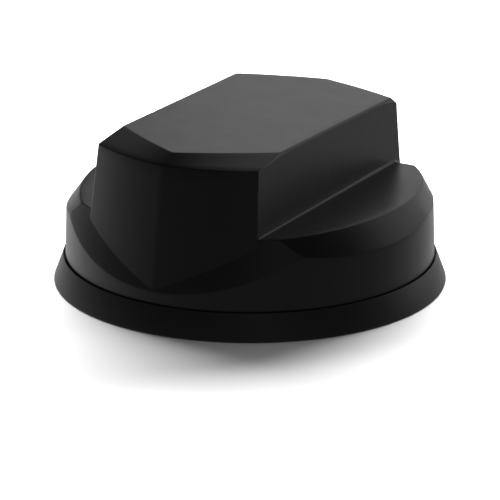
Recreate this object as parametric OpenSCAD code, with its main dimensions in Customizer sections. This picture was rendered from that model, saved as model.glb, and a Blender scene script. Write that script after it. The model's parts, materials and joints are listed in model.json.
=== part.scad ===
// Compact GNSS smart antenna: a moulded radome with a raised six-cornered hood on a round drum,
// standing on a die-cast base with a flared skirt ring.
// Frame: origin on the ground at the centre of the skirt, +Z up, -Y is the front tip of the hood,
// +Y is the back, where the cable connector sits in a pocket.

/* [Overall] */
// Diameter of the skirt ring at the ground
skirt_d = 160; // [158:1:164]
// Height of the flat top above the ground
total_h = 68; // [67:0.5:71]
// Wall thickness of the radome moulding
shell_t = 2.8; // [2.4:0.1:3]

/* [Drum and shoulders] */
// Outer radius of the drum wall at the groove
drum_r = 75; // [74.8:0.1:75.1]
// Height of the flat shoulders at mid length
shoulder_h = 40; // [39:0.5:41]
// Rise of the shoulders towards the back, in degrees
shoulder_tilt = 1.2; // [0.8:0.1:1.6]
// Lean of the side chamfers towards the front, in degrees
chamfer_lean = 7.8; // [7:0.2:8.4]
// Slope of the facet behind the shoulders, in degrees
back_drop = 24; // [23:0.5:25]

/* [Hood] */
// Half width of the hood at its front corners, just below the top
hood_half_w = 36.4; // [36:0.2:37]
// Angle by which each long side opens towards the back
hood_splay = 0.6; // [0:0.1:0.8]
// Distance from the centre to the tips of the hood, at the same height
hood_tip = 67; // [66.5:0.25:67.5]
// Distance from the centre to the line joining the two corners at each end
hood_corner = 55.5; // [55:0.25:56]
// Plan radius of the gently bowed end faces
hood_bow_r = 84; // [82:0.5:92]
// Height of the lower edge of the top bevels
bevel_h = 65; // [64.6:0.1:65.4]

/* [Fixing] */
// Radius of the central pole thread, 5/8 inch nominal
pole_thread_r = 7.94; // [7.9:0.01:8]
// Depth of the pole thread
pole_thread_depth = 12; // [10:0.5:12.5]
// Circle of the four M5 fixing holes, diameter
bolt_pcd = 100; // [96:1:104]
// Radius of the M5 fixing holes
bolt_r = 2.5; // [2.4:0.05:2.6]
// Depth of the M5 fixing holes
bolt_depth = 8; // [6:0.5:8.5]

/* [Connector] */
// Height of the connector axis above the ground
port_z = 22; // [22:0.1:22.3]
// Distance from the centre to the flat floor of the connector pocket
port_y = 67; // [66.8:0.1:67.4]
// Thread radius of the connector, M12
port_r = 6; // [5.9:0.05:6]
// Radial play between the push-on cap and the thread
cap_play = 0.05; // [0.02:0.01:0.08]

/* [Hidden] */
$fn = 96;
skirt_r = skirt_d / 2;
drum_slope = 0.032;          // radius lost per unit height by the drum wall
groove_z = 11;               // top of the skirt ring
rim_z = 9;                   // bottom of the radome rim
ledge_z = 8;                 // top of the base plate rim
floor_z = 2;                 // underside of the base plate
plate_top = 5;               // upper face of the base plate
front_slope = 0.157;         // draft of the front faces of the hood, as a tangent
back_slope = 0.07;           // draft of the back faces
side_slope = 0.064;          // draft of the long sides
top_chamfer = 0.6;           // chamfer along the long top edges
board_z = 22;                // underside of the main board
board_t = 1.6;               // thickness of both circuit boards
board_top = board_z + board_t;
antenna_z = 44;              // underside of the antenna board
antenna_top = antenna_z + board_t;
lower_patch_h = 6;
upper_patch_h = 5;
plate_t = 0.2;               // thickness of the silver patch plates
case_screw_r = 64;           // circle of the six case screws, radius
plate_rim_r = 75;            // outer radius of the base plate
wall_post_r = 4;             // radius of the radome's screw posts
big = 200;

board_posts = [for (sx = [-1, 1], sy = [-1, 1]) [46 * sx, 18 * sy]];
antenna_posts_at = [for (sx = [-1, 1], sy = [-1, 1]) [26 * sx, 36 * sy]];
lower_feeds = [[14, 0], [0, 14]];
upper_feeds = [[-6, 0], [0, -6]];
pin_angles = [45, 135, 225, 315];
coax_at = [18, 10];
wire_x = [-4.5, -1.5, 1.5, 4.5];
pocket_half_w = 20;          // half sizes of the connector pocket
pocket_half_h = 8.4;
pocket_wall = 1.8;
back_edge = 50.6;            // where the facet behind the shoulders begins

// ---------- geometry helpers ----------

// Centre of the arc of radius r that runs from p to q, on the left of that direction
function arc_centre(p, q, r) =
  let (d = q - p, half = norm(d) / 2, n = [-d.y, d.x] / norm(d))
  (p + q) / 2 + n * sqrt(r * r - half * half);

// Point at t on the cubic Bezier curve with control points a, b, c, d
function bezier(a, b, c, d, t) =
  a * pow(1 - t, 3) + 3 * b * t * pow(1 - t, 2) + 3 * c * t * t * (1 - t) + d * pow(t, 3);

// A tall cone of radius r at height z, which narrows upwards by slope
module drafted(r, z, slope, low = -20, high = 80) {
  translate([0, 0, low]) cylinder(h = high - low, r1 = r + slope * (z - low), r2 = r - slope * (high - z));
}

// A round tube swept along a list of points, with its ends square to the given direction
module tube(points, r, sides = 8) {
  n = len(points);
  function heading(i) = points[min(i + 1, n - 1)] - points[max(i - 1, 0)];
  function ring(i) =
    let (t = heading(i) / norm(heading(i)), u0 = cross(t, [1, 0.01, 0]), u = u0 / norm(u0), v = cross(t, u))
    [for (k = [0:sides - 1]) points[i] + r * (cos(360 * k / sides) * u + sin(360 * k / sides) * v)];
  verts = [for (i = [0:n - 1]) each ring(i)];
  skin = [for (i = [0:n - 2], k = [0:sides - 1])
    let (a = i * sides + k, b = i * sides + (k + 1) % sides) [a, a + sides, b + sides, b]];
  caps = [[for (k = [0:sides - 1]) k], [for (k = [sides - 1:-1:0]) (n - 1) * sides + k]];
  polyhedron(verts, concat(skin, caps), convexity = 4);
}

module ring_of(count, r, start = 0) {
  for (k = [0:count - 1]) rotate([0, 0, start + 360 * k / count]) translate([r, 0, 0]) children();
}

module at_each(places) {
  for (p = places) translate([p.x, p.y, 0]) children();
}

module block(size, at) {
  translate([at.x - size.x / 2, at.y - size.y / 2, at.z]) cube(size);
}

// Children drawn along +Z are laid along +Y on the connector axis
module on_port_axis(y) {
  translate([0, y, port_z]) rotate([-90, 0, 0]) children();
}

// ---------- the outer form of the radome, moved inwards by t ----------

// One bowed, drafted end face of the hood, as the cone that it is cut from.
// side is -1 or 1 across X; end is -1 at the front and 1 at the back.
module end_face(side, end, slope, t) {
  centre = arc_centre([0, -hood_tip], [hood_half_w, -hood_corner], hood_bow_r);
  translate([side * centre.x, -end * centre.y, 0]) drafted(hood_bow_r - t, bevel_h, slope);
}

// What the two bevels at one end cut off. The top edge runs from the tip, at tip_y, by the vector run
module above_bevel(tip_y, run, slope, end, t) {
  for (side = [0, 1]) mirror([side, 0, 0]) mirror([0, end > 0 ? 1 : 0, 0])
    translate([0, tip_y, total_h - t]) rotate([0, 0, atan2(run.y, run.x)]) rotate([slope, 0, 0])
      translate([-big / 2, -big / 2, 0]) cube([big, big / 2 + 4, 40]);
}

// All that lies inside one long side of the hood and below its flat top
module within_side(side, t) {
  low = -10;
  edge_z = total_h - top_chamfer;
  half_low = hood_half_w + side_slope * (bevel_h - low) - t;
  half_edge = hood_half_w + side_slope * (bevel_h - edge_z) - t;
  section = [[-big, low], [half_low, low], [half_edge, edge_z - t], [half_edge - top_chamfer, total_h - t],
             [-big, total_h - t]];
  mirror([side < 0 ? 1 : 0, 0, 0]) translate([0, -hood_corner, 0]) rotate([0, 0, -hood_splay])
    translate([0, 1.5 * big, 0]) rotate([90, 0, 0]) linear_extrude(2 * big) polygon(section);
}

// The raised hood: drafted, slightly splayed long sides, closed by bowed faces at both ends
module hood_form(t) {
  difference() {
    intersection() {
      within_side(1, t);
      within_side(-1, t);
      drafted(drum_r - t, groove_z, drum_slope);
      end_face(-1, -1, front_slope, t);
      end_face(1, -1, front_slope, t);
      end_face(-1, 1, back_slope, t);
      end_face(1, 1, back_slope, t);
    }
    above_bevel(-59, [36, 21], 12.6, -1, t);
    above_bevel(-62.7, [36, 11.2], 34, 1, t);
  }
}

// The wide chamfer on one side, cut from a leaning cone whose axis is past the middle
module side_chamfer(side, t) {
  translate([-18 * side, -4.5, shoulder_h]) rotate([chamfer_lean, 0, 0])
    drafted(85 - 1.25 * t, 0, 0.795, -60, 60);
}

// All that lies below a plane that rises by tilt degrees towards the back and passes height z at y
module below_plane(y, z, tilt) {
  translate([0, y, z]) rotate([tilt, 0, 0]) translate([-big / 2, -big / 2, -big]) cube(big);
}

// The round drum: wall, chamfers, the steep apron in front, flat shoulders and the facet behind them
module drum_form(t) {
  back_z = shoulder_h + back_edge * tan(shoulder_tilt);
  intersection() {
    drafted(drum_r - t, groove_z, drum_slope);
    drafted(70.2 - t, 40.8, 0.535);
    translate([0, 18.9, 0]) drafted(86 - t, 40, 0.32);
    side_chamfer(-1, t);
    side_chamfer(1, t);
    below_plane(0, shoulder_h - t, shoulder_tilt);
    below_plane(back_edge, back_z - t / cos(back_drop), -back_drop);
  }
}

module outer_form(t) {
  union() {
    drum_form(t);
    hood_form(t);
  }
}

// The pocket around the connector, grown by t
module port_pocket(t) {
  half_w = pocket_half_w + t;
  half_h = pocket_half_h + t;
  corner = 4;
  translate([0, port_y - t, port_z]) rotate([-90, 0, 0]) linear_extrude(20 + t)
    offset(r = corner, $fn = 48) square([2 * (half_w - corner), 2 * (half_h - corner)], center = true);
}

// ---------- housing ----------

module radome() {
  color("#232323") difference() {
    union() {
      difference() {
        outer_form(0);
        outer_form(shell_t);
      }
      intersection() {
        outer_form(0.6);
        port_pocket(pocket_wall);
      }
      intersection() {
        outer_form(1);
        ring_of(6, case_screw_r) screw_post();
      }
    }
    translate([0, 0, rim_z - 40]) cylinder(h = 40, r = skirt_r);
    port_pocket(0);
    on_port_axis(port_y - 5) cylinder(h = 10, r = port_r + 0.1);
    ring_of(6, case_screw_r) translate([0, 0, 4]) cylinder(h = 16, r = 1.3, $fn = 32);
  }
}

// A post for one case screw with the web that ties it to the wall
module screw_post() {
  translate([0, 0, rim_z]) cylinder(h = 17, r = wall_post_r, $fn = 48);
  translate([0, -1.25, 15]) cube([12, 2.5, 11]);
}

module skirt_ring() {
  section = [[plate_rim_r, 0], [skirt_r - 0.7, 0], [skirt_r, 0.7], [75.9, groove_z], [75.5, groove_z],
             [75.5, rim_z], [72.4, rim_z], [72.4, ledge_z], [plate_rim_r, ledge_z]];
  color("#1c1c1c") rotate_extrude($fn = 180) polygon(section);
}

module base_plate() {
  wall_in = 68.4;
  wall_out = 70.9;
  section = [[0, floor_z], [71, floor_z], [71, 1], [plate_rim_r, 1], [plate_rim_r, ledge_z],
             [wall_out, ledge_z], [wall_out, 9.1], [70.2, 9.1], [70.2, 11], [wall_out, 11], [wall_out, 11.6],
             [wall_in, 11.6], [wall_in, plate_top], [0, plate_top]];
  color("#8b8d8f") difference() {
    union() {
      rotate_extrude($fn = 180) polygon(section);
      translate([0, 0, floor_z]) cylinder(h = 12, r = 15);
      ring_of(4, bolt_pcd / 2, 45) translate([0, 0, floor_z]) cylinder(h = 9.5, r = 6, $fn = 48);
      ring_of(6, case_screw_r) translate([0, 0, floor_z]) cylinder(h = rim_z - floor_z, r = wall_post_r, $fn = 48);
      base_ribs();
    }
    cylinder(h = 30, r = 10.5);
    cylinder(h = 4.5, r = 13.2);
    ring_of(4, bolt_pcd / 2, 45) cylinder(h = floor_z + bolt_depth, r = bolt_r, $fn = 48);
    ring_of(6, case_screw_r) {
      cylinder(h = 4.6, r = 3.1, $fn = 48);
      cylinder(h = 20, r = 1.7, $fn = 32);
    }
    translate([0, -44, 0]) cylinder(h = 20, r = 4, $fn = 48);
    block([40.4, 20.4, 1.3], [0, 33, 1]);
  }
}

// Stiffening ribs on top of the base plate, from the centre boss to the rim, clear of posts and holes
module base_ribs() {
  for (angle = [-8, 8, 68, 112, 172, 188, 248, 292])
    rotate([0, 0, angle]) translate([14, -1, plate_top - 0.5]) cube([55, 2, 3.5]);
}

module case_seal() {
  color("#101010") rotate_extrude($fn = 180) translate([71.15, 10.05]) circle(r = 0.9, $fn = 32);
}

module case_screws() {
  color("silver") ring_of(6, case_screw_r) difference() {
    union() {
      translate([0, 0, 2.3]) cylinder(h = 2.3, r = 2.8, $fn = 48);
      translate([0, 0, 2.3]) cylinder(h = 15.7, r = 1.27, $fn = 32);
    }
    translate([0, 0, 1]) cylinder(h = 2.6, r = 1.45, $fn = 6);
  }
}

module pole_insert() {
  color("goldenrod") translate([0, 0, floor_z]) difference() {
    union() {
      cylinder(h = 14, r = 10.45);
      cylinder(h = 2.4, r = 13.1, $fn = 6);
    }
    translate([0, 0, -1]) cylinder(h = 1 + pole_thread_depth, r = pole_thread_r);
  }
}

module vent_plug() {
  color("#303030") translate([0, -44, 0]) difference() {
    union() {
      translate([0, 0, 0.9]) cylinder(h = 1.1, r = 5.6, $fn = 48);
      translate([0, 0, 0.9]) cylinder(h = 5.6, r = 3.97, $fn = 48);
    }
    ring_of(4, 3, 45) cylinder(h = 1.6, r = 0.6, $fn = 24);
    translate([0, 0, 2.5]) cylinder(h = 10, r = 2.6, $fn = 32);
  }
}

module rating_plate() {
  color("silver") block([40, 20, 0.4], [0, 33, 1.9]);
}

// ---------- connector and cable ----------

module connector_shell() {
  color("#c7c7c4") difference() {
    union() {
      on_port_axis(port_y - 10) cylinder(h = 19, r = port_r);
      on_port_axis(port_y + 0.8) cylinder(h = 1.8, r = 9.2, $fn = 6);
    }
    on_port_axis(port_y - 11) cylinder(h = 21, r = 4.7);
  }
}

module connector_washer() {
  color("#101010") on_port_axis(port_y) difference() {
    cylinder(h = 0.8, r = 8);
    translate([0, 0, -1]) cylinder(h = 3, r = port_r + 0.1);
  }
}

module connector_nut() {
  color("silver") on_port_axis(port_y - pocket_wall - 3.2) difference() {
    cylinder(h = 3.2, r = 9.2, $fn = 6);
    translate([0, 0, -1]) cylinder(h = 6, r = port_r);
  }
}

module connector_insulator() {
  color("#1a1a1a") difference() {
    on_port_axis(port_y - 9) cylinder(h = 12, r = 4.68);
    connector_pin_places() on_port_axis(port_y - 20) cylinder(h = 40, r = 0.52, $fn = 24);
  }
}

module connector_pins() {
  color("gold") connector_pin_places() on_port_axis(port_y - 11) cylinder(h = 19, r = 0.5, $fn = 24);
}

// Four contacts on a circle around the connector axis
module connector_pin_places() {
  for (a = pin_angles) translate([2.4 * cos(a), 0, 2.4 * sin(a)]) children();
}

module connector_cap() {
  color("#151515") difference() {
    union() {
      on_port_axis(port_y + 3.1) cylinder(h = 8.5, r = 7.6);
      on_port_axis(port_y + 3.1) cylinder(h = 1.4, r = 8.1);
      on_port_axis(port_y + 9.6) cylinder(h = 2, r = 8.1);
    }
    on_port_axis(port_y + 2) cylinder(h = 7.4, r = port_r + cap_play);
  }
}

module wiring_harness() {
  color("#a03028") for (k = [0:3]) {
    start = [2.4 * cos(pin_angles[k]), port_y - 11.1, port_z + 2.4 * sin(pin_angles[k])];
    finish = [wire_x[[3, 0, 1, 2][k]] * 0.8, 45.12, board_top + 2.6];
    tube([for (i = [0:12]) bezier(start, start - [0, 3.5, 0], finish + [0, 3, 0], finish, i / 12)], 0.6);
  }
}

module harness_plug() {
  color("white") block([13, 4, 4], [0, 43, board_top + 0.6]);
}

module harness_header() {
  color("beige") difference() {
    block([16, 7, 5.4], [0, 42.5, board_top]);
    block([13.1, 10, 6], [0, 46, board_top + 0.6]);
  }
}

// ---------- main board ----------

module main_board() {
  color("#1d5b36") translate([0, 0, board_z]) difference() {
    linear_extrude(board_t) intersection() {
      circle(r = 57, $fn = 120);
      square([104, 106], center = true);
    }
    at_each(board_posts) translate([0, 0, -1]) cylinder(h = 4, r = 1.6, $fn = 32);
    block([24, 10, 4], [0, 53, -1]);
  }
}

module board_standoffs() {
  color("silver") at_each(board_posts) difference() {
    translate([0, 0, plate_top]) cylinder(h = board_z - plate_top, r = 3.2, $fn = 6);
    translate([0, 0, board_z - 8]) cylinder(h = 9, r = 1.3, $fn = 32);
  }
}

module board_screws() {
  color("silver") at_each(board_posts) translate([0, 0, board_top]) screw(1.28);
}

// A pan-head screw standing on z = 0 with its shank below
module screw(shank_r) {
  difference() {
    union() {
      cylinder(h = 2, r = 2.7, $fn = 48);
      translate([0, 0, -7]) cylinder(h = 7.5, r = shank_r, $fn = 32);
    }
    translate([0, 0, 0.9]) cylinder(h = 3, r = 1.3, $fn = 6);
  }
}

module receiver_module() {
  color("#1b4d7a") block([42, 32, 1.2], [8, 4, board_top]);
}

module receiver_shield() {
  color("silver") difference() {
    block([34, 26, 3], [6, 4, board_top + 1.2]);
    block([33, 25, 2.7], [6, 4, board_top + 1]);
  }
}

module processor() {
  color("#222222") block([14, 14, 1.4], [-26, 8, board_top]);
}

module memory_chip() {
  color("#222222") block([8, 12, 1.1], [-26, 24, board_top]);
}

module power_coils() {
  color("#3a3a3a") for (y = [-36, -27]) {
    block([7, 7, 3.6], [-8, y, board_top]);
  }
}

module smoothing_capacitors() {
  color("#b8b8bd") for (x = [2, 10, 18]) translate([x, -34, board_top]) {
    cylinder(h = 7, r = 3.1, $fn = 48);
    translate([-3.3, -3.3, 0]) cube([6.6, 6.6, 1]);
  }
}

module bluetooth_module() {
  color("#c9c9c9") block([13, 18, 2.2], [40, -4, board_top]);
}

module motion_sensor() {
  color("#222222") block([5, 5, 1.2], [-26, -6, board_top]);
}

module backup_cell() {
  color("#d8d8d8") translate([-26, -24, board_top]) {
    cylinder(h = 3.4, r = 6.2, $fn = 64);
  }
}

// ---------- antenna stack ----------

module antenna_posts() {
  color("white") at_each(antenna_posts_at) difference() {
    translate([0, 0, board_top]) cylinder(h = antenna_z - board_top, r = 3, $fn = 6);
    translate([0, 0, antenna_z - 8]) cylinder(h = 9, r = 1.3, $fn = 32);
  }
}

module antenna_screws() {
  color("silver") at_each(antenna_posts_at) translate([0, 0, antenna_top]) screw(1.28);
}

module antenna_board() {
  outline = [[-32, -40], [0, -52], [32, -40], [32, 40], [0, 52], [-32, 40]];
  color("#1d5b36") translate([0, 0, antenna_z]) difference() {
    linear_extrude(board_t) polygon(outline);
    at_each(antenna_posts_at) translate([0, 0, -1]) cylinder(h = 4, r = 1.6, $fn = 32);
    feed_holes(concat(lower_feeds, upper_feeds));
  }
}

// Clearance for the feed pins at the given places
module feed_holes(places) {
  at_each(places) translate([0, 0, -20]) cylinder(h = 60, r = 0.75, $fn = 24);
}

module lower_patch() {
  color("#d9cdb4") translate([0, 0, antenna_top]) difference() {
    block([50, 50, lower_patch_h], [0, 0, 0]);
    feed_holes(concat(lower_feeds, upper_feeds));
  }
}

module lower_patch_plate() {
  color("silver") translate([0, 0, antenna_top + lower_patch_h]) difference() {
    block([46, 46, plate_t], [0, 0, 0]);
    feed_holes(concat(lower_feeds, upper_feeds));
  }
}

module upper_patch() {
  color("#d9cdb4") translate([0, 0, antenna_top + lower_patch_h + plate_t]) difference() {
    block([30, 30, upper_patch_h], [-2, -2, 0]);
    feed_holes(upper_feeds);
    translate([lower_feeds[0].x, lower_feeds[0].y, -1]) cylinder(h = 3, r = 1.5, $fn = 24);
    translate([lower_feeds[1].x, lower_feeds[1].y, -1]) cylinder(h = 3, r = 1.5, $fn = 24);
  }
}

module upper_patch_plate() {
  color("silver") translate([0, 0, antenna_top + lower_patch_h + plate_t + upper_patch_h]) difference() {
    block([26, 26, plate_t], [-2, -2, 0]);
    feed_holes(upper_feeds);
  }
}

module feed_pins() {
  lower_top = antenna_top + lower_patch_h + plate_t;
  upper_top = lower_top + upper_patch_h + plate_t;
  color("silver") {
    at_each(lower_feeds) feed_pin(lower_top);
    at_each(upper_feeds) feed_pin(upper_top);
  }
}

// One soldered pin from under the antenna board to its patch
module feed_pin(top) {
  translate([0, 0, antenna_z - 1]) cylinder(h = top - antenna_z + 1, r = 0.6, $fn = 24);
  translate([0, 0, top]) cylinder(h = 0.5, r = 1.2, $fn = 32);
}

module amplifier_shield() {
  color("silver") difference() {
    block([40, 34, 5], [0, 0, antenna_z - 5]);
    block([39, 33, 5], [0, 0, antenna_z - 4.6]);
  }
}

module coax_jumper() {
  low = [coax_at.x + 1.95, coax_at.y, board_top + 5.3];
  high = [coax_at.x + 1.95, coax_at.y, antenna_z - 6.1];
  color("#202020") tube([for (i = [0:10]) bezier(low, low + [6, 0, 0], high + [6, 0, 0], high, i / 10)], 0.7);
}

module coax_plugs() {
  color("gold") {
    translate([coax_at.x, coax_at.y, board_top + 4.2]) cylinder(h = 2.2, r = 1.8, $fn = 32);
    translate([coax_at.x, coax_at.y, antenna_z - 7.2]) cylinder(h = 2.2, r = 1.8, $fn = 32);
  }
}

radome();
skirt_ring();
base_plate();
case_seal();
case_screws();
pole_insert();
vent_plug();
rating_plate();
connector_shell();
connector_washer();
connector_nut();
connector_insulator();
connector_pins();
connector_cap();
wiring_harness();
harness_plug();
harness_header();
main_board();
board_standoffs();
board_screws();
receiver_module();
receiver_shield();
processor();
memory_chip();
power_coils();
smoothing_capacitors();
bluetooth_module();
motion_sensor();
backup_cell();
antenna_posts();
antenna_screws();
antenna_board();
lower_patch();
lower_patch_plate();
upper_patch();
upper_patch_plate();
feed_pins();
amplifier_shield();
coax_jumper();
coax_plugs();
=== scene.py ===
"""Looks of the GNSS receiver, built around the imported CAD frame. All shapes are in millimetres until
they become meshes, in the frame's own axes: -Y is the front tip, +Y the connector side, +Z up."""
import json
import math

import bmesh
import bpy
import numpy as np
from mathutils import Matrix, Vector


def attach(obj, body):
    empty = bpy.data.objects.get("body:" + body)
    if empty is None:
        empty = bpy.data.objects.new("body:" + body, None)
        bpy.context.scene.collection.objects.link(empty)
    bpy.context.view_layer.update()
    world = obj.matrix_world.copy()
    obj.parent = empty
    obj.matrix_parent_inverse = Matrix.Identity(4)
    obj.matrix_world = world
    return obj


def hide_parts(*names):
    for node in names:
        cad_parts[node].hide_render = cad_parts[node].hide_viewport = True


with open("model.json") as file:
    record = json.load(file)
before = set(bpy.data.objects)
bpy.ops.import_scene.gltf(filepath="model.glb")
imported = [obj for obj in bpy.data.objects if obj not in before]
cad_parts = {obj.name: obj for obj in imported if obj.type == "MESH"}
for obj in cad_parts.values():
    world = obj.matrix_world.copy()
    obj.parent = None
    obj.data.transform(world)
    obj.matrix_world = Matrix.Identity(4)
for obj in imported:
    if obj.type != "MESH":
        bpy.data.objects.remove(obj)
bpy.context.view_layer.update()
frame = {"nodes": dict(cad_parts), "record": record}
MM = 0.001

# ---------------------------------------------------------------- node helpers

def add_node(tree, kind, inputs=None, **settings):
    """A shader node; inputs maps socket names or numbers to a value or to another node's socket."""
    made = tree.nodes.new(kind)
    for key, value in settings.items():
        setattr(made, key, value)
    for key, value in (inputs or {}).items():
        if isinstance(value, bpy.types.NodeSocket):
            tree.links.new(value, made.inputs[key])
        else:
            made.inputs[key].default_value = value
    return made


def maths(tree, operation, a, b=0.0, clamp=False):
    return add_node(tree, "ShaderNodeMath", {0: a, 1: b}, operation=operation, use_clamp=clamp).outputs[0]


# ---------------------------------------------------------------- camera and studio

CAM_AZIMUTH, CAM_ELEVATION, CAM_DISTANCE = 30.5, 18.9, 1.28
CAM_TARGET = Vector((0, 0, 0.0108))
CAM_LENS = 226.4


def from_angles(azimuth, elevation):
    """Unit vector that points from the object at a viewer; azimuth 0 is in front, 90 at +X."""
    a, e = math.radians(azimuth), math.radians(elevation)
    return Vector((math.sin(a) * math.cos(e), -math.cos(a) * math.cos(e), math.sin(e)))


def add_camera():
    data = bpy.data.cameras.new("camera")
    data.lens = CAM_LENS
    data.sensor_width = 36
    cam = bpy.data.objects.new("camera", data)
    toward = from_angles(CAM_AZIMUTH, CAM_ELEVATION)
    cam.location = CAM_TARGET + toward * CAM_DISTANCE
    cam.rotation_euler = toward.to_track_quat("Z", "Y").to_euler()
    bpy.context.scene.collection.objects.link(cam)
    bpy.context.scene.camera = cam


def add_softbox(name, azimuth, elevation, distance, size, power):
    """A rectangular light that faces the object."""
    data = bpy.data.lights.new(name, "AREA")
    data.shape = "RECTANGLE"
    data.size, data.size_y = size
    data.energy = power
    lamp = bpy.data.objects.new(name, data)
    toward = from_angles(azimuth, elevation)
    lamp.location = toward * distance
    lamp.rotation_euler = toward.to_track_quat("Z", "Y").to_euler()
    bpy.context.scene.collection.objects.link(lamp)
    return lamp


def only_lights(lamp, obj):
    group = bpy.data.collections.new(lamp.name + "_receivers")
    group.objects.link(obj)
    lamp.light_linking.receiver_collection = group


GLOW_AZIMUTH = 225                 # middle of the bright background, behind the object and to the left
GLOW_FRONT, GLOW_BACK = 0.15, 0.93 # strength low down all round, and what the bright side adds to it
GLOW_ABOVE = 0.045                 # strength left overhead, where both have faded
FRONT_FADE = -17, 32, 2.2          # elevations where the glow starts to fade and where it ends, and a power
BACK_FADE = -12, 26, 1.8


def add_world():
    """A white backdrop for the camera; for the light it is a low glow, brightest behind the object."""
    world = bpy.data.worlds.new("studio")
    bpy.context.scene.world = world
    world.use_nodes = True
    tree = world.node_tree
    tree.nodes.clear()
    direction = add_node(tree, "ShaderNodeTexCoord").outputs["Generated"]
    axis = add_node(tree, "ShaderNodeSeparateXYZ", {0: direction})
    back = from_angles(GLOW_AZIMUTH, 0)
    along = maths(tree, "ADD", maths(tree, "MULTIPLY", axis.outputs[0], back.x),
                  maths(tree, "MULTIPLY", axis.outputs[1], back.y))
    elevation = maths(tree, "ARCSINE", axis.outputs[2])
    level = maths(tree, "COSINE", elevation)
    share = maths(tree, "MULTIPLY", maths(tree, "ADD", maths(tree, "DIVIDE", along, level), 1.0), 0.5, True)

    def fade(low, top, power):
        low, top = math.radians(low), math.radians(top)
        left = maths(tree, "DIVIDE", maths(tree, "SUBTRACT", top, elevation), top - low, True)
        return maths(tree, "POWER", left, power)

    front = maths(tree, "ADD", maths(tree, "MULTIPLY", fade(*FRONT_FADE), GLOW_FRONT), GLOW_ABOVE)
    behind = maths(tree, "MULTIPLY", maths(tree, "POWER", share, 3.0), GLOW_BACK)
    strength = maths(tree, "ADD", front, maths(tree, "MULTIPLY", behind, fade(*BACK_FADE)))
    lit = add_node(tree, "ShaderNodeBackground", {"Color": (1, 1, 1, 1), "Strength": strength})
    seen = add_node(tree, "ShaderNodeBackground", {"Color": (1, 1, 1, 1), "Strength": 1.0})
    path = add_node(tree, "ShaderNodeLightPath")
    choice = {0: path.outputs["Is Camera Ray"], 1: lit.outputs[0], 2: seen.outputs[0]}
    mix = add_node(tree, "ShaderNodeMixShader", choice)
    add_node(tree, "ShaderNodeOutputWorld", {0: mix.outputs[0]})


def add_floor():
    """A white floor that shows the object's shadow but isn't mirrored in it."""
    mesh = bpy.data.meshes.new("floor")
    side = 6.0
    corners = [(-side, -side, 0), (side, -side, 0), (side, side, 0), (-side, side, 0)]
    mesh.from_pydata(corners, [], [(0, 1, 2, 3)])
    floor = bpy.data.objects.new("floor", mesh)
    bpy.context.scene.collection.objects.link(floor)
    mat = bpy.data.materials.new("floor_white")
    mat.use_nodes = True
    bsdf = mat.node_tree.nodes["Principled BSDF"]
    bsdf.inputs["Base Color"].default_value = (0.9, 0.9, 0.9, 1)
    bsdf.inputs["Roughness"].default_value = 1.0
    bsdf.inputs["Specular IOR Level"].default_value = 0.0
    mesh.materials.append(mat)
    floor.visible_glossy = False
    floor.visible_diffuse = False
    floor.visible_shadow = False
    return floor


add_camera()
add_world()
floor = add_floor()
bpy.context.scene.view_settings.view_transform = "Standard"
only_lights(add_softbox("floor_key", 210, 38, 1.3, (2.5, 0.5), 92), floor)
only_lights(add_softbox("floor_fill", 30, 88, 1.5, (1.2, 1.2), 2), floor)
add_softbox("back_softbox", 172, 24, 1.2, (2.15, 1.05), 5.0)
add_softbox("front_fill", 38, 24, 1.3, (0.6, 0.5), 0.19)

# ---------------------------------------------------------------- the radome's surfaces

SHELL = 2.8
DRUM_R, DRUM_SLOPE, GROOVE_Z, RIM_Z = 75.0, 0.032, 11.0, 9.0
SHOULDER_H, SHOULDER_TILT = 40.0, math.radians(1.2)
CHAMFER_LEAN = math.radians(7.8)
BACK_EDGE, BACK_DROP = 50.6, math.radians(24)
HOOD_HALF_W, HOOD_SPLAY = 36.4, math.radians(0.6)
HOOD_TIP, HOOD_CORNER, HOOD_BOW_R, BEVEL_Z = 67.0, 55.5, 84.0, 65.0
SIDE_SLOPE, FRONT_SLOPE, BACK_SLOPE = 0.064, 0.157, 0.07
HOOD_BOW = (HOOD_HALF_W**2 + (HOOD_TIP - HOOD_CORNER)**2) / (8 * HOOD_BOW_R)
ROUND_CHAMFER_R, ROUND_CHAMFER_Z, ROUND_CHAMFER_SLOPE = 70.2, 40.8, 0.535
APRON_BACK, APRON_R, APRON_Z, APRON_SLOPE = 18.9, 86, 40, 0.32
SIDE_CHAMFER_X, SIDE_CHAMFER_Y, SIDE_CHAMFER_R, SIDE_CHAMFER_SLOPE = 18, 4.5, 85, 0.795
SIDE_CHAMFER_INSET = 1.25                    # how far its radius shrinks for each mm of offset
TOP_Z, TOP_CHAMFER = 68.0, 0.6
TOP_BOW = 0.8
FRONT_TOP_TIP, FRONT_TOP_CORNER = 59.0, 38.0
BACK_TOP_TIP, BACK_TOP_CORNER = 62.7, 51.1


def cone(p, centre, radius, height, slope):
    """Below 0 inside an upright cone of that radius at that height, which narrows upwards."""
    return np.hypot(p[..., 0] - centre[0], p[..., 1] - centre[1]) - radius + slope * (p[..., 2] - height)


def leaning_cone(p, side, t):
    """The wide chamfer on one side: a cone whose axis leans towards the front."""
    x, y, z = p[..., 0] + SIDE_CHAMFER_X * side, p[..., 1] + SIDE_CHAMFER_Y, p[..., 2] - SHOULDER_H
    c, s = math.cos(CHAMFER_LEAN), math.sin(CHAMFER_LEAN)
    radius = SIDE_CHAMFER_R - SIDE_CHAMFER_INSET * t
    return np.hypot(x, c * y + s * z) - radius + SIDE_CHAMFER_SLOPE * (c * z - s * y)


def end_centre():
    tip, corner = np.array((0, -HOOD_TIP)), np.array((HOOD_HALF_W, -HOOD_CORNER))
    half = np.linalg.norm(corner - tip) / 2
    normal = np.array((-(corner - tip)[1], (corner - tip)[0])) / (2 * half)
    return (tip + corner) / 2 + normal * math.sqrt(HOOD_BOW_R**2 - half**2)


END_CENTRE = end_centre()


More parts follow.
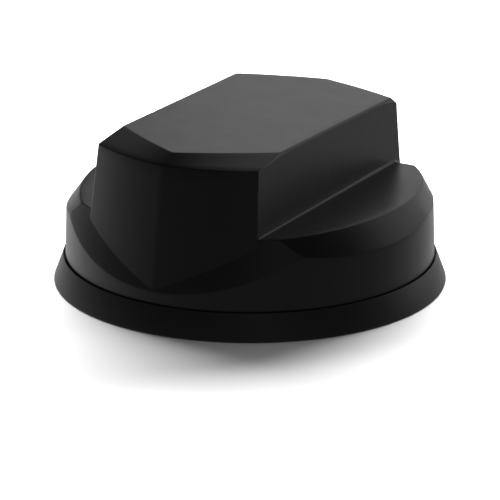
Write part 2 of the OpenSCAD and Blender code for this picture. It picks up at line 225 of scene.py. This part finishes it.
def end_face(p, side, end, slope, t):
    return cone(p, (side * END_CENTRE[0], -end * END_CENTRE[1]), HOOD_BOW_R - t, BEVEL_Z, slope)


def drum_wall(p, t):
    return cone(p, (0, 0), DRUM_R - t, GROOVE_Z, DRUM_SLOPE)


def apron(p, t):
    return cone(p, (0, APRON_BACK), APRON_R - t, APRON_Z, APRON_SLOPE)


def ledge(y, t):
    """Height of the shoulders, and of the facet that drops behind them."""
    flat = SHOULDER_H - t + y * math.tan(SHOULDER_TILT)
    edge_z = SHOULDER_H + BACK_EDGE * math.tan(SHOULDER_TILT)
    facet = edge_z - t / math.cos(BACK_DROP) - (y - BACK_EDGE) * math.tan(BACK_DROP)
    return np.minimum(flat, facet)


def above_ledge(p, t):
    return p[..., 2] - ledge(p[..., 1], t)


def front_faces(p, t):
    return np.maximum(end_face(p, 1, -1, FRONT_SLOPE, t), end_face(p, -1, -1, FRONT_SLOPE, t))


def back_faces(p, t):
    return np.maximum(end_face(p, 1, 1, BACK_SLOPE, t), end_face(p, -1, 1, BACK_SLOPE, t))


def below_shoulder(p, t):
    """Every surface that trims the drum, except its own wall and the shoulders."""
    round_chamfer = cone(p, (0, 0), ROUND_CHAMFER_R - t, ROUND_CHAMFER_Z, ROUND_CHAMFER_SLOPE)
    return np.max([round_chamfer, apron(p, t), leaning_cone(p, 1, t), leaning_cone(p, -1, t)], axis=0)


def last_inside(test, low, high):
    """The largest value in low..high at which test stays below 0, by bisection; works on arrays."""
    low, high = low.astype(float).copy(), high.astype(float).copy()
    for _ in range(44):
        middle = (low + high) / 2
        inside = test(middle) < 0
        low = np.where(inside, middle, low)
        high = np.where(inside, high, middle)
    return low


def polar(phi, r, z):
    """Points at angle phi from the front tip towards +X."""
    return np.stack([r * np.sin(phi), -r * np.cos(phi), z + 0 * phi], axis=-1)


def wall_point(phi, z, t):
    return polar(phi, DRUM_R - t - DRUM_SLOPE * (z - GROOVE_Z), z)


def wall_edge(phi, t):
    """Where the drum wall ends and the apron, chamfer or facet begins."""
    def test(z):
        p = wall_point(phi, z, t)
        return np.maximum(below_shoulder(p, t), above_ledge(p, t))
    return wall_point(phi, last_inside(test, 0 * phi + 5, 0 * phi + 50), t)


def on_surface(inside, phi, z, t):
    return polar(phi, last_inside(lambda r: inside(polar(phi, r, z), t), 0 * phi, 0 * phi + 100), z)


def apron_end(phi, t):
    """Where the apron gives way to the side chamfer, going up."""
    def test(z):
        p = on_surface(apron, phi, z, t)
        return np.maximum(leaning_cone(p, 1, t), leaning_cone(p, -1, t))
    return on_surface(apron, phi, last_inside(test, 0 * phi + 5, 0 * phi + 60), t)


def front_foot(phi, t):
    """Where a front face of the hood rises out of the drum."""
    def test(z):
        p = on_surface(front_faces, phi, z, t)
        return np.max([below_shoulder(p, t), drum_wall(p, t), above_ledge(p, t)], axis=0)
    lowest = GROOVE_Z + 4.5
    return on_surface(front_faces, phi, last_inside(test, 0 * phi + lowest, 0 * phi + 60), t)


def on_ledge(phi, r, t):
    x, y = r * np.sin(phi), -r * np.cos(phi)
    return np.stack([x, y, ledge(y, t)], axis=-1)


def shoulder_edge(phi, t):
    """The outer edge of the shoulders and of the facet behind them."""
    def test(r):
        p = on_ledge(phi, r, t)
        return np.maximum(below_shoulder(p, t), drum_wall(p, t))
    return on_ledge(phi, last_inside(test, 0 * phi, 0 * phi + 100), t)


def back_foot(phi, t):
    """Where a back face of the hood meets the facet behind the shoulders."""
    def test(r):
        return back_faces(on_ledge(phi, r, t), t)
    return on_ledge(phi, last_inside(test, 0 * phi, 0 * phi + 100), t)


def side_point(y, z, t):
    """A point on the right-hand long side of the hood."""
    half = (HOOD_HALF_W - t + SIDE_SLOPE * (BEVEL_Z - z)) / math.cos(HOOD_SPLAY)
    return np.stack([half + (y + HOOD_CORNER) * math.tan(HOOD_SPLAY), y, z + 0 * y], axis=-1)


def side_foot(y, t):
    """Where the long side of the hood meets the shoulder."""
    def test(z):
        p = side_point(y, z, t)
        return np.maximum(below_shoulder(p, t), above_ledge(p, t))
    return side_point(y, last_inside(test, 0 * y + 5, 0 * y + 60), t)


def front_corner(edge, t):
    """The y at which a long side, followed along edge(y), meets the front face."""
    return last_inside(lambda y: -front_faces(edge(y), t), np.array([-70.0]), np.array([-40.0]))[0]


def back_corner(edge, t):
    return last_inside(lambda y: back_faces(edge(y), t), np.array([40.0]), np.array([75.0]))[0]


def angle_of(p):
    return math.atan2(p[0], -p[1])


def ridge_angle(t):
    """Angle at which the ridge between shoulder and facet reaches the outer edge."""
    test = lambda phi: shoulder_edge(phi, t)[:, 1] - BACK_EDGE
    return last_inside(test, np.array([1.6]), np.array([2.8]))[0]


def bowed(f, tip, corner, bow):
    """Points from tip to corner, bowed outwards by bow in plan."""
    tip, corner = np.array(tip, float), np.array(corner, float)
    along = corner - tip
    out = np.array((along[1], -along[0], 0)) / np.linalg.norm(along[:2])
    if out[1] * tip[1] < 0:
        out = -out
    return tip + f[:, None] * along + (4 * bow * f * (1 - f))[:, None] * out


# ---------------------------------------------------------------- the radome's mesh

FRONT_SPAN, SIDE_SPAN = 38.4, 112.0          # lengths used to space the columns round the hood
HALF_SPAN = 2 * FRONT_SPAN + SIDE_SPAN
EDGE_RISE = 0.13                             # share of the long side over which its edge climbs to the top
COLUMN_GAP, LEAST_GAP = 2.4, 0.9             # widest and narrowest steps between columns away from corners
CORNER_COLUMNS = (-1.6, -1.1, -0.7, -0.35, 0, 0.35, 0.7, 1.1, 1.6)
CORNER_REACH = 1.61                          # columns this near to a corner are all kept
MIDDLE_FRONT, MIDDLE_SPAN = -50, 104         # the line down the middle of the top on which profiles end
FOOT_AT = 12                                 # place of the outside hood foot in a profile


def ease(x):
    x = np.clip(x, 0, 1)
    return x * x * (3 - 2 * x)


def half_curves(u, t):
    """The feature curves of the right half at positions u (0 at the front tip, HALF_SPAN at the back tip):
    rim, wall edge, apron end, shoulder edge, hood foot, bevel edge and top edge, each (len(u), 3)."""
    y_front = front_corner(lambda y: side_foot(y, t), t)
    y_back = back_corner(lambda y: side_foot(y, t), t)
    phi_front, phi_back = (angle_of(side_foot(np.array([y]), t)[0]) for y in (y_front, y_back))
    f = np.clip(u / FRONT_SPAN, 0, 1)
    s = np.clip((u - FRONT_SPAN) / SIDE_SPAN, 0, 1)
    b = np.clip((u - FRONT_SPAN - SIDE_SPAN) / FRONT_SPAN, 0, 1)
    on_front, on_back = (u <= FRONT_SPAN)[:, None], (u > FRONT_SPAN + SIDE_SPAN)[:, None]
    pick = lambda front, middle, back: np.where(on_front, front, np.where(on_back, back, middle))
    ridge = (BACK_EDGE - y_front) / (y_back - y_front)
    along_side = np.interp(s, [0, ridge, 1], [0, ridge_angle(t) - phi_front, phi_back - phi_front])
    phi = f * phi_front + along_side + b * (math.pi - phi_back)

    rim = wall_point(phi, np.full_like(phi, RIM_Z), t)
    wall = wall_edge(phi, t)
    foot_front = front_foot(phi, t)
    shoulder = np.where(on_front, foot_front, shoulder_edge(phi, t))
    foot = pick(foot_front, side_foot(y_front + s * (y_back - y_front), t), back_foot(phi, t))
    bend = apron_end(phi, t)
    bend = np.where(bend[:, 2:] < wall[:, 2:], wall, np.where(bend[:, 2:] > shoulder[:, 2:], shoulder, bend))

    bevel_z, top_z = BEVEL_Z - t, TOP_Z - t
    corner_front = front_corner(lambda y: side_point(y, BEVEL_Z, t), t)
    corner_back = back_corner(lambda y: side_point(y, BEVEL_Z, t), t)
    corners = [side_point(y, BEVEL_Z, t) - (0, 0, t) for y in (corner_front, corner_back)]
    bevel_front = bowed(f, (0, t - HOOD_TIP, bevel_z), corners[0], HOOD_BOW)
    bevel_back = bowed(1 - b, (0, HOOD_TIP - t, bevel_z), corners[1], HOOD_BOW)
    y_top = -FRONT_TOP_CORNER + s * (FRONT_TOP_CORNER + BACK_TOP_CORNER)
    chamfer = side_point(y_top, TOP_Z - TOP_CHAMFER, t) - (0, 0, t)
    top_side = np.stack([chamfer[:, 0] - TOP_CHAMFER, y_top, 0 * s + top_z], axis=-1)
    top_front = bowed(f, (0, t - FRONT_TOP_TIP, top_z), top_side_end(-FRONT_TOP_CORNER, t), TOP_BOW)
    top_back = bowed(1 - b, (0, BACK_TOP_TIP - t, top_z), top_side_end(BACK_TOP_CORNER, t), TOP_BOW)
    rise, fall = ease(s / EDGE_RISE)[:, None], ease((1 - s) / EDGE_RISE)[:, None]
    bevel_side = corners[0] * (1 - rise) + chamfer * rise
    bevel_side = corners[1] * (1 - fall) + bevel_side * fall
    bevel = pick(bevel_front, bevel_side, bevel_back)
    top = pick(top_front, top_side, top_back)
    return np.array([rim, wall, bend, shoulder, foot, bevel, top])


def top_side_end(y, t):
    """An end of the long top edge."""
    return side_point(y, TOP_Z - TOP_CHAMFER, t) + (-TOP_CHAMFER, 0, TOP_CHAMFER - t)


def curves_at(u, t):
    """Feature curves for any u, with the left half mirrored from the right."""
    left = (u < 0) | (u > HALF_SPAN)
    inside = np.where(u < 0, -u, np.where(u > HALF_SPAN, 2 * HALF_SPAN - u, u))
    curves = half_curves(inside, t)
    curves[..., 0] *= np.where(left, -1, 1)
    return curves


def column_places():
    """Positions of the columns on the right half, closer together at the corners."""
    foot = lambda y: side_foot(y, 0)
    y_front, y_back = front_corner(foot, 0), back_corner(foot, 0)
    ridge = FRONT_SPAN + SIDE_SPAN * (BACK_EDGE - y_front) / (y_back - y_front)
    corners = [0, FRONT_SPAN, ridge, FRONT_SPAN + SIDE_SPAN, HALF_SPAN]
    places = list(np.arange(0, HALF_SPAN, COLUMN_GAP))
    for corner in corners:
        places += [corner + d for d in CORNER_COLUMNS]
    places = np.unique(np.round([p for p in places if 0 <= p <= HALF_SPAN], 4))
    keep = [places[0]]
    for p in places[1:]:
        near = min(abs(p - c) for c in corners)
        if p - keep[-1] > LEAST_GAP or near < CORNER_REACH:
            keep.append(p)
    return np.array(keep)


def softened_curves(u, t, spread=0.7, samples=9):
    """Feature curves averaged over a short stretch, which rounds the hood's upright corners."""
    total = 0
    for d in np.linspace(-spread, spread, samples):
        total = total + curves_at(u + d, t)
    return total / samples


def rounded_profile(points, widths, rows):
    """One profile with its corners rounded. points is (K, 3), widths the reach of each corner's rounding,
    rows the number of steps along each stretch between corners."""
    lengths = np.linalg.norm(np.diff(points, axis=0), axis=1)
    s = np.concatenate([[0], np.cumsum(lengths)])
    knots = s + np.arange(len(s)) * 1e-7
    at = []
    for k in range(len(points) - 1):
        a, b = s[k] + widths[k], s[k + 1] - widths[k + 1]
        if b < a:
            a = b = (s[k] + s[k + 1]) / 2
        at += list(np.linspace(a, b, rows[k] + 1))
        if k < len(points) - 2:
            at += [s[k + 1] + widths[k + 1] * q for q in (-0.5, 0, 0.5)]
    at = np.sort(np.clip(np.array(at), 0, s[-1]))
    at[0], at[-1] = 0, s[-1]
    reach = np.interp(at, knots, widths)
    reach = np.minimum(reach, np.minimum(at, s[-1] - at))
    out = 0
    steps = np.linspace(-1, 1, 11)
    for q in steps:
        where = at + q * reach
        out = out + np.stack([np.interp(where, knots, points[:, i]) for i in range(3)], axis=-1)
    return out / len(steps)


def radome_profiles(u):
    """All the profiles of the right half. Each runs from the middle of the ceiling inside, round the rim, to
    the middle of the top."""
    outer = softened_curves(u, 0.0)
    inner = softened_curves(u, SHELL)
    share = u / HALF_SPAN
    middle_y = MIDDLE_FRONT + MIDDLE_SPAN * share
    middle = np.stack([0 * u, middle_y, 0 * u + TOP_Z], axis=-1)
    ceiling = middle - np.array((0, 0, SHELL))
    stack = np.concatenate([ceiling[None], inner[::-1], outer, middle[None]])
    # ceiling, top, bevel, foot, shoulder, apron, wall and rim inside, then the same outside in reverse
    widths = np.array([0, .3, .3, .3, .3, .1, .3, .2, .35, .45, .2, .45, .9, .35, .35, 0])
    rows = [10, 3, 8, 4, 2, 2, 6, 1, 8, 3, 4, 6, 9, 4, 12]
    profiles = []
    for j in range(len(u)):
        w = widths.copy()
        w[FOOT_AT] = 0.5 + 1.1 * share[j] if FRONT_SPAN < u[j] < HALF_SPAN - FRONT_SPAN + 6 else 0.5
        profiles.append(rounded_profile(stack[:, j], w, rows))
    return np.array(profiles)


def add_mesh(name, verts, faces):
    mesh = bpy.data.meshes.new(name)
    mesh.from_pydata([tuple(v) for v in verts], [], faces)
    mesh.update()
    obj = bpy.data.objects.new(name, mesh)
    bpy.context.scene.collection.objects.link(obj)
    return obj


def weld(obj, distance=2e-6):
    bm = bmesh.new()
    bm.from_mesh(obj.data)
    bmesh.ops.remove_doubles(bm, verts=bm.verts, dist=distance)
    bmesh.ops.dissolve_degenerate(bm, dist=distance, edges=bm.edges)
    bmesh.ops.recalc_face_normals(bm, faces=bm.faces)
    bm.to_mesh(obj.data)
    bm.free()


def build_radome():
    u = column_places()
    right = radome_profiles(u)
    left = right[1:-1][::-1] * np.array((-1, 1, 1))
    columns = np.concatenate([right, left])
    count, rows = columns.shape[:2]
    faces = []
    for j in range(count):
        k = (j + 1) % count
        faces += [(j * rows + i, k * rows + i, k * rows + i + 1, j * rows + i + 1) for i in range(rows - 1)]
    obj = add_mesh("radome_shell", columns.reshape(-1, 3) * MM, faces)
    weld(obj)
    return obj


# ---------------------------------------------------------------- meshes for turned and moulded pieces

def round_corners(points, radii, steps=4):
    """A closed outline with its corners rounded; radii has one reach for each point, 0 for a sharp one."""
    out = []
    count = len(points)
    for i, reach in enumerate(radii):
        here, before, after = (Vector(points[k % count]) for k in (i, i - 1, i + 1))
        if reach == 0:
            out.append(tuple(here))
            continue
        a = here + (before - here).normalized() * reach
        b = here + (after - here).normalized() * reach
        for s in range(steps + 1):
            q = s / steps
            out.append(tuple(a * (1 - q) ** 2 + here * 2 * q * (1 - q) + b * q * q))
    return out


def revolve(name, outline, segments, shape=None, place=None, closed=True):
    """A turned piece from an outline of (r, z). shape(r, z, angle) may change each radius, and place moves
    the finished points. An outline that isn't closed starts and ends on the axis."""
    verts = []
    for k in range(segments):
        angle = 2 * math.pi * k / segments
        for r, z in outline:
            reach = shape(r, z, angle) if shape else r
            point = Vector((reach * math.cos(angle), reach * math.sin(angle), z))
            verts.append(place @ point if place else point)
    rows = len(outline)
    faces = []
    for k in range(segments):
        a, b = k * rows, ((k + 1) % segments) * rows
        for i in range(rows if closed else rows - 1):
            j = (i + 1) % rows
            faces.append((a + i, b + i, b + j, a + j))
    obj = add_mesh(name, np.array([tuple(v) for v in verts]) * MM, faces)
    weld(obj)
    return obj


def prism(name, outline, low, high):
    """A closed prism along +Y from an outline of (x, z)."""
    count = len(outline)
    verts = [(x, low, z) for x, z in outline] + [(x, high, z) for x, z in outline]
    faces = [tuple(range(count)), tuple(range(2 * count - 1, count - 1, -1))]
    faces += [(i, i + count, (i + 1) % count + count, (i + 1) % count) for i in range(count)]
    obj = add_mesh(name, np.array(verts) * MM, faces)
    weld(obj)
    return obj


def combine(obj, tool, operation):
    """Applies an exact boolean to obj and removes the tool."""
    cut = obj.modifiers.new("cut", "BOOLEAN")
    cut.object = tool
    cut.operation = operation
    cut.solver = "EXACT"
    bake_modifiers(obj)
    bpy.data.objects.remove(tool)


def bake_modifiers(obj):
    depsgraph = bpy.context.evaluated_depsgraph_get()
    mesh = bpy.data.meshes.new_from_object(obj.evaluated_get(depsgraph))
    obj.modifiers.clear()
    obj.data = mesh


def smooth(obj, angle=30):
    for poly in obj.data.polygons:
        poly.use_smooth = True
    obj.data.set_sharp_from_angle(angle=math.radians(angle))


def soften_edges(obj, width, angle=35, segments=2):
    bevel = obj.modifiers.new("soft_edges", "BEVEL")
    bevel.width = width * MM
    bevel.segments = segments
    bevel.limit_method = "ANGLE"
    bevel.angle_limit = math.radians(angle)
    bevel.harden_normals = True


# ---------------------------------------------------------------- the connector side

PORT_Y, PORT_Z, PORT_R = 67.0, 22.0, 6.0
POCKET_HALF_W, POCKET_HALF_H, POCKET_CORNER, POCKET_WALL = 20.0, 8.4, 4.0, 1.8


def on_port_axis(y):
    """Places points drawn along +Z on the connector's axis, from y outwards."""
    return Matrix.Translation((0, y, PORT_Z)) @ Matrix.Rotation(math.radians(-90), 4, "X")


def pocket_outline(grow):
    w, h, r = POCKET_HALF_W + grow, POCKET_HALF_H + grow, POCKET_CORNER + grow
    outline = []
    for quarter, (cx, cz) in enumerate(((w - r, h - r), (r - w, h - r), (r - w, r - h), (w - r, r - h))):
        for step in range(9):
            angle = math.radians(90 * quarter + 90 * step / 8)
            outline.append((cx + r * math.cos(angle), PORT_Z + cz + r * math.sin(angle)))
    return outline


def cut_port_pocket(radome):
    """Adds the walled pocket for the connector to the back of the radome."""
    inside_wall = DRUM_R - 1.4
    lining = prism("lining", pocket_outline(POCKET_WALL), PORT_Y - POCKET_WALL, 90)
    low, high = 2, 46
    drum = revolve("drum", [(0, low), (inside_wall, low), (inside_wall, high), (0, high)], 240, closed=False)
    combine(lining, drum, "INTERSECT")
    combine(radome, lining, "UNION")
    combine(radome, prism("pocket", pocket_outline(0), PORT_Y, 95), "DIFFERENCE")
    bore = revolve("bore", [(0, -8), (PORT_R + 0.1, -8), (PORT_R + 0.1, 4), (0, 4)], 96,
                   place=on_port_axis(PORT_Y), closed=False)
    combine(radome, bore, "DIFFERENCE")


def hexagon(r, flats, angle):
    """Radius of a hexagon of that half width across flats, where the round radius r reaches past it."""
    turn = (angle + math.pi / 6) % (math.pi / 3) - math.pi / 6
    return min(r, flats / math.cos(turn))


def thread_height(z, angle, pitch):
    """From 0 at the root to 1 at the crest of a thread with flattened crests."""
    phase = (z / pitch - angle / (2 * math.pi)) % 1
    return min(1.0, max(0.0, 1.35 - abs(phase - 0.5) * 3.4))


def fade_between(z, low, high, reach):
    return max(0.0, min(1.0, (z - low) / reach, (high - z) / reach))


def build_connector_shell():
    """Plated coupling with an M12 thread and a hexagonal flange; z is measured from the pocket floor."""
    rear, flange_low, flange_high, front = -10.0, 0.8, 2.6, 9.0
    pitch, depth = 1.0, 0.55
    def shape(r, z, angle):
        if r > 6.5:
            return hexagon(r, 7.97, angle)
        if r > 5.5:
            cover = max(fade_between(z, flange_high + 0.6, front - 0.2, 0.5),
                        fade_between(z, rear + 0.2, flange_low - 1, 0.5))
            return r - depth * cover * (1 - thread_height(z, angle, pitch))
        return r
    ring = [(4.7, rear), (5.6, rear), (PORT_R, rear + 0.4)]
    ring += [(PORT_R, rear + 0.4 + 0.14 * k) for k in range(1, 71)]
    ring += [(PORT_R, flange_low), (8.6, flange_low), (9.2, flange_low + 0.35), (9.2, flange_high - 0.35),
             (8.6, flange_high), (PORT_R, flange_high)]
    ring += [(PORT_R, flange_high + 0.14 * k) for k in range(1, 43)]
    ring += [(PORT_R, front - 0.4), (5.6, front), (5.0, front), (4.7, front - 0.3)]
    return revolve("connector_coupling", ring, 144, shape, on_port_axis(PORT_Y))


def build_cap():
    """Push-on dust cap with a ribbed grip; z is measured from the pocket floor."""
    low, high, bore_end = 3.1, 11.6, 9.4
    def shape(r, z, angle):
        if r > 7.3 and low + 1.6 < z < high - 2.2:
            return r - 0.42 * (0.5 - 0.5 * math.cos(24 * angle)) ** 0.7
        return r
    corners = [(0, bore_end), (6.05, bore_end), (6.05, low), (8.1, low), (8.1, low + 1.4), (7.6, low + 1.9),
               (7.6, high - 2.4), (8.1, high - 1.9), (8.1, high), (5.2, high), (4.7, high - 0.4),
               (0, high - 0.4)]
    reach = [0, 0.3, 0.35, 0.45, 0.45, 0.3, 0.3, 0.3, 0.7, 0.25, 0.2, 0]
    outline = round_corners(corners, reach)
    return revolve("connector_dust_cap", outline, 192, shape, on_port_axis(PORT_Y), closed=False)


# ---------------------------------------------------------------- base pieces

def build_skirt():
    outline = [(75, 0), (80, 0), (75.9, 11), (75.5, 11), (75.5, 9), (72.4, 9), (72.4, 8), (75, 8)]
    return revolve("skirt_ring_moulding", round_corners(outline, [0.3, 0.8, 0.16, 0.1, 0, 0.2, 0.2, 0]), 288)


def build_pole_insert():
    """Brass insert with a blind 5/8 inch coarse thread and a hexagonal collar."""
    low, top, thread_top = 2.0, 16.0, 14.0
    pitch, depth = 25.4 / 11, 1.2
    def shape(r, z, angle):
        if 7.5 < r < 8.5:
            cover = fade_between(z, low + 0.6, thread_top - 0.4, 1.2)
            return r - depth * cover * thread_height(z, angle, pitch)
        if r > 11:
            return hexagon(r, 11.34, angle)
        return r
    ring = [(0, thread_top), (7.0, thread_top), (7.94, thread_top - 0.4)]
    ring += [(7.94, thread_top - 0.4 - 0.2 * k) for k in range(1, 56)]
    ring += [(7.94, low + 0.5), (8.5, low), (12.5, low), (13.1, low + 0.4), (13.1, low + 2.4),
             (10.45, low + 2.4), (10.45, top - 0.3), (10.1, top), (0, top)]
    return revolve("pole_insert_threaded", ring, 144, shape, closed=False)


# ---------------------------------------------------------------- materials

class Finish:
    """A procedural material: mottled colour and roughness, and a bump built from its grain."""

    def __init__(self, name):
        self.mat = bpy.data.materials.new(name)
        self.mat.use_nodes = True
        self.tree = self.mat.node_tree
        self.bsdf = self.tree.nodes["Principled BSDF"]
        self.coords = add_node(self.tree, "ShaderNodeTexCoord").outputs["Object"]
        self.normal = None

    def stretched(self, scale):
        return add_node(self.tree, "ShaderNodeMapping", {"Vector": self.coords, "Scale": scale}).outputs[0]

    def noise(self, scale, detail=2.0, rough=0.5, vector=None):
        inputs = {"Vector": vector or self.coords, "Scale": scale, "Detail": detail, "Roughness": rough}
        return add_node(self.tree, "ShaderNodeTexNoise", inputs).outputs["Fac"]

    def cells(self, scale, feature="F1"):
        inputs = {"Vector": self.coords, "Scale": scale}
        return add_node(self.tree, "ShaderNodeTexVoronoi", inputs, feature=feature).outputs["Distance"]

    def spread(self, value, low, high, start=0.3, end=0.7):
        """Maps a noise value onto low..high."""
        inputs = {0: value, 1: start, 2: end, 3: low, 4: high}
        return add_node(self.tree, "ShaderNodeMapRange", inputs).outputs[0]

    def colour(self, value, first, second):
        inputs = {0: value, 6: (*first, 1), 7: (*second, 1)}
        mixed = add_node(self.tree, "ShaderNodeMix", inputs, data_type="RGBA").outputs[2]
        self.tree.links.new(mixed, self.bsdf.inputs["Base Color"])
        return mixed

    def roughness(self, value):
        self.tree.links.new(value, self.bsdf.inputs["Roughness"])

    def bump(self, value, depth, strength=1.0):
        """Adds a layer of bump; depth is the height of the pattern in metres."""
        inputs = {"Height": value, "Strength": strength, "Distance": depth}
        if self.normal:
            inputs["Normal"] = self.normal
        self.normal = add_node(self.tree, "ShaderNodeBump", inputs).outputs[0]
        self.tree.links.new(self.normal, self.bsdf.inputs["Normal"])

    def set(self, **sockets):
        for name, value in sockets.items():
            self.bsdf.inputs[name.replace("_", " ")].default_value = value


def moulded(name, dark, light, rough, grain, depth, mottle=0.04, speck=0.0):
    """Moulded plastic or rubber: fine grain over a faint unevenness."""
    f = Finish(name)
    broad = f.noise(90, 3)
    fine = f.noise(grain, 3, 0.6)
    f.colour(f.spread(fine, 0, 1, 0.35, 0.65), dark, light)
    uneven = f.spread(broad, rough - mottle, rough + mottle)
    f.roughness(maths(f.tree, "ADD", uneven, f.spread(fine, -speck, speck)))
    f.bump(fine, depth)
    f.bump(broad, depth * 2)
    f.set(IOR=1.5)
    return f.mat


def metal(name, dark, light, rough, grain, depth, stretch=None):
    """Cast, plated, turned or drawn metal; stretch draws the grain out along one axis."""
    f = Finish(name)
    vector = f.stretched(stretch) if stretch else None
    fine = f.noise(grain, 4, 0.6, vector)
    stain = f.noise(160, 4)
    f.colour(f.spread(stain, 0, 1), dark, light)
    worn = f.spread(fine, rough - 0.07, rough + 0.07)
    f.roughness(maths(f.tree, "ADD", worn, f.spread(stain, -0.04, 0.06)))
    f.bump(fine, depth)
    f.set(Metallic=1.0)
    return f.mat


def circuit_board(name, dark, light):
    """Solder mask over copper tracks, with small plated holes."""
    f = Finish(name)
    tracks = add_node(f.tree, "ShaderNodeTexBrick", {
        "Vector": f.stretched((260, 260, 260)), "Scale": 1.0, "Mortar Size": 0.08, "Mortar Smooth": 0.3,
        "Color1": (0, 0, 0, 1), "Color2": (0.25, 0.25, 0.25, 1), "Mortar": (1, 1, 1, 1)}).outputs["Fac"]
    patch = f.spread(f.noise(120, 1), 0, 1, 0.45, 0.55)
    shown = maths(f.tree, "MULTIPLY", tracks, patch)
    holes = maths(f.tree, "LESS_THAN", f.cells(300), 0.1)
    masked = {0: shown, 6: (*dark, 1), 7: (*light, 1)}
    mask = add_node(f.tree, "ShaderNodeMix", masked, data_type="RGBA").outputs[2]
    gilt = {0: holes, 6: mask, 7: (0.62, 0.47, 0.2, 1)}
    plated = add_node(f.tree, "ShaderNodeMix", gilt, data_type="RGBA").outputs[2]
    f.tree.links.new(plated, f.bsdf.inputs["Base Color"])
    f.roughness(f.spread(f.noise(900), 0.24, 0.34))
    f.bump(shown, 3e-5)
    return f.mat


def ceramic(name):
    f = Finish(name)
    pores = f.spread(f.cells(2600), 0, 1, 0.05, 0.4)
    f.colour(pores, (0.42, 0.34, 0.23), (0.64, 0.56, 0.42))
    f.roughness(f.spread(f.noise(700, 4), 0.3, 0.48))
    f.bump(pores, 6e-6)
    return f.mat


MATERIALS = {
    "black_plastic": moulded("black_plastic", (0.003,) * 3, (0.006,) * 3, 0.37, 2600, 3.2e-5, 0.012, 0.05),
    "skirt_plastic": moulded("skirt_plastic", (0.0085,) * 3, (0.012,) * 3, 0.44, 3200, 1.2e-5, 0.012, 0.03),
    "rubber_black": moulded("rubber_black", (0.007,) * 3, (0.013,) * 3, 0.58, 2400, 1.4e-5, 0.05, 0.05),
    "chip_black": moulded("chip_black", (0.012,) * 3, (0.022,) * 3, 0.5, 3000, 1e-5, 0.05, 0.04),
    "nylon_white": moulded("nylon_white", (0.62, 0.61, 0.56), (0.74, 0.73, 0.69), 0.42, 1800, 0.8e-5),
    "wire_red": moulded("wire_red", (0.3, 0.02, 0.015), (0.4, 0.035, 0.025), 0.35, 2000, 0.5e-5),
    "coax_black": moulded("coax_black", (0.012,) * 3, (0.022,) * 3, 0.35, 2000, 0.5e-5),
    "cast_aluminium": metal("cast_aluminium", (0.34, 0.345, 0.35), (0.5, 0.505, 0.51), 0.48, 2200, 2.5e-5),
    "steel_zinc": metal("steel_zinc", (0.5, 0.5, 0.47), (0.66, 0.66, 0.63), 0.3, 1500, 0.5e-5, (1, 1, 0.1)),
    "brass": metal("brass", (0.6, 0.4, 0.16), (0.78, 0.56, 0.25), 0.28, 1600, 0.6e-5, (1, 1, 0.15)),
    "plated_brass": metal("plated_brass", (0.52, 0.51, 0.48), (0.66, 0.65, 0.62), 0.24, 1600, 0.5e-5),
    "gold_contact": metal("gold_contact", (0.75, 0.52, 0.18), (0.88, 0.66, 0.28), 0.22, 1800, 0.4e-5),
    "label_film": metal("label_film", (0.48, 0.49, 0.5), (0.56, 0.57, 0.58), 0.4, 2400, 0.4e-5,
                        (0.06, 1, 1)),
    "tin_shield": metal("tin_shield", (0.5, 0.5, 0.5), (0.64, 0.64, 0.63), 0.33, 1400, 0.8e-5, (0.12, 1, 1)),
    "can_metal": metal("can_metal", (0.54, 0.54, 0.56), (0.64, 0.64, 0.66), 0.28, 1500, 0.5e-5, (1, 1, 0.1)),
    "silver_plate": metal("silver_plate", (0.6, 0.59, 0.56), (0.74, 0.73, 0.7), 0.36, 2000, 0.8e-5),
    "board_green": circuit_board("board_green", (0.012, 0.075, 0.032), (0.03, 0.15, 0.06)),
    "board_blue": circuit_board("board_blue", (0.012, 0.04, 0.12), (0.03, 0.09, 0.22)),
    "ceramic": ceramic("ceramic"),
}

# ---------------------------------------------------------------- the pieces


def dress(obj, slot):
    obj.data.materials.clear()
    obj.data.materials.append(MATERIALS[slot])


def stand_for(obj, node, body, slot, angle=30):
    smooth(obj, angle)
    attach(obj, body)
    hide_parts(node)
    dress(obj, slot)


radome = build_radome()
cut_port_pocket(radome)
stand_for(radome, "radome", "receiver", "black_plastic")
stand_for(build_skirt(), "skirt_ring", "receiver", "skirt_plastic")
stand_for(build_pole_insert(), "pole_insert", "receiver", "brass")
stand_for(build_connector_shell(), "connector_shell", "receiver", "plated_brass")
stand_for(build_cap(), "connector_cap", "cap", "rubber_black")

SLOTS = {part["node"]: part["material_slot"] for part in frame["record"]["subparts"]}
UNBEVELLED = ("case_seal", "wiring_harness", "coax_jumper", "connector_pins", "feed_pins")
REPLACED = ("radome", "skirt_ring", "pole_insert", "connector_shell", "connector_cap")
for name, obj in frame["nodes"].items():
    if name in REPLACED:
        continue
    dress(obj, SLOTS[name])
    if name not in UNBEVELLED:
        soften_edges(obj, 0.3 if name == "base_plate" else 0.12)
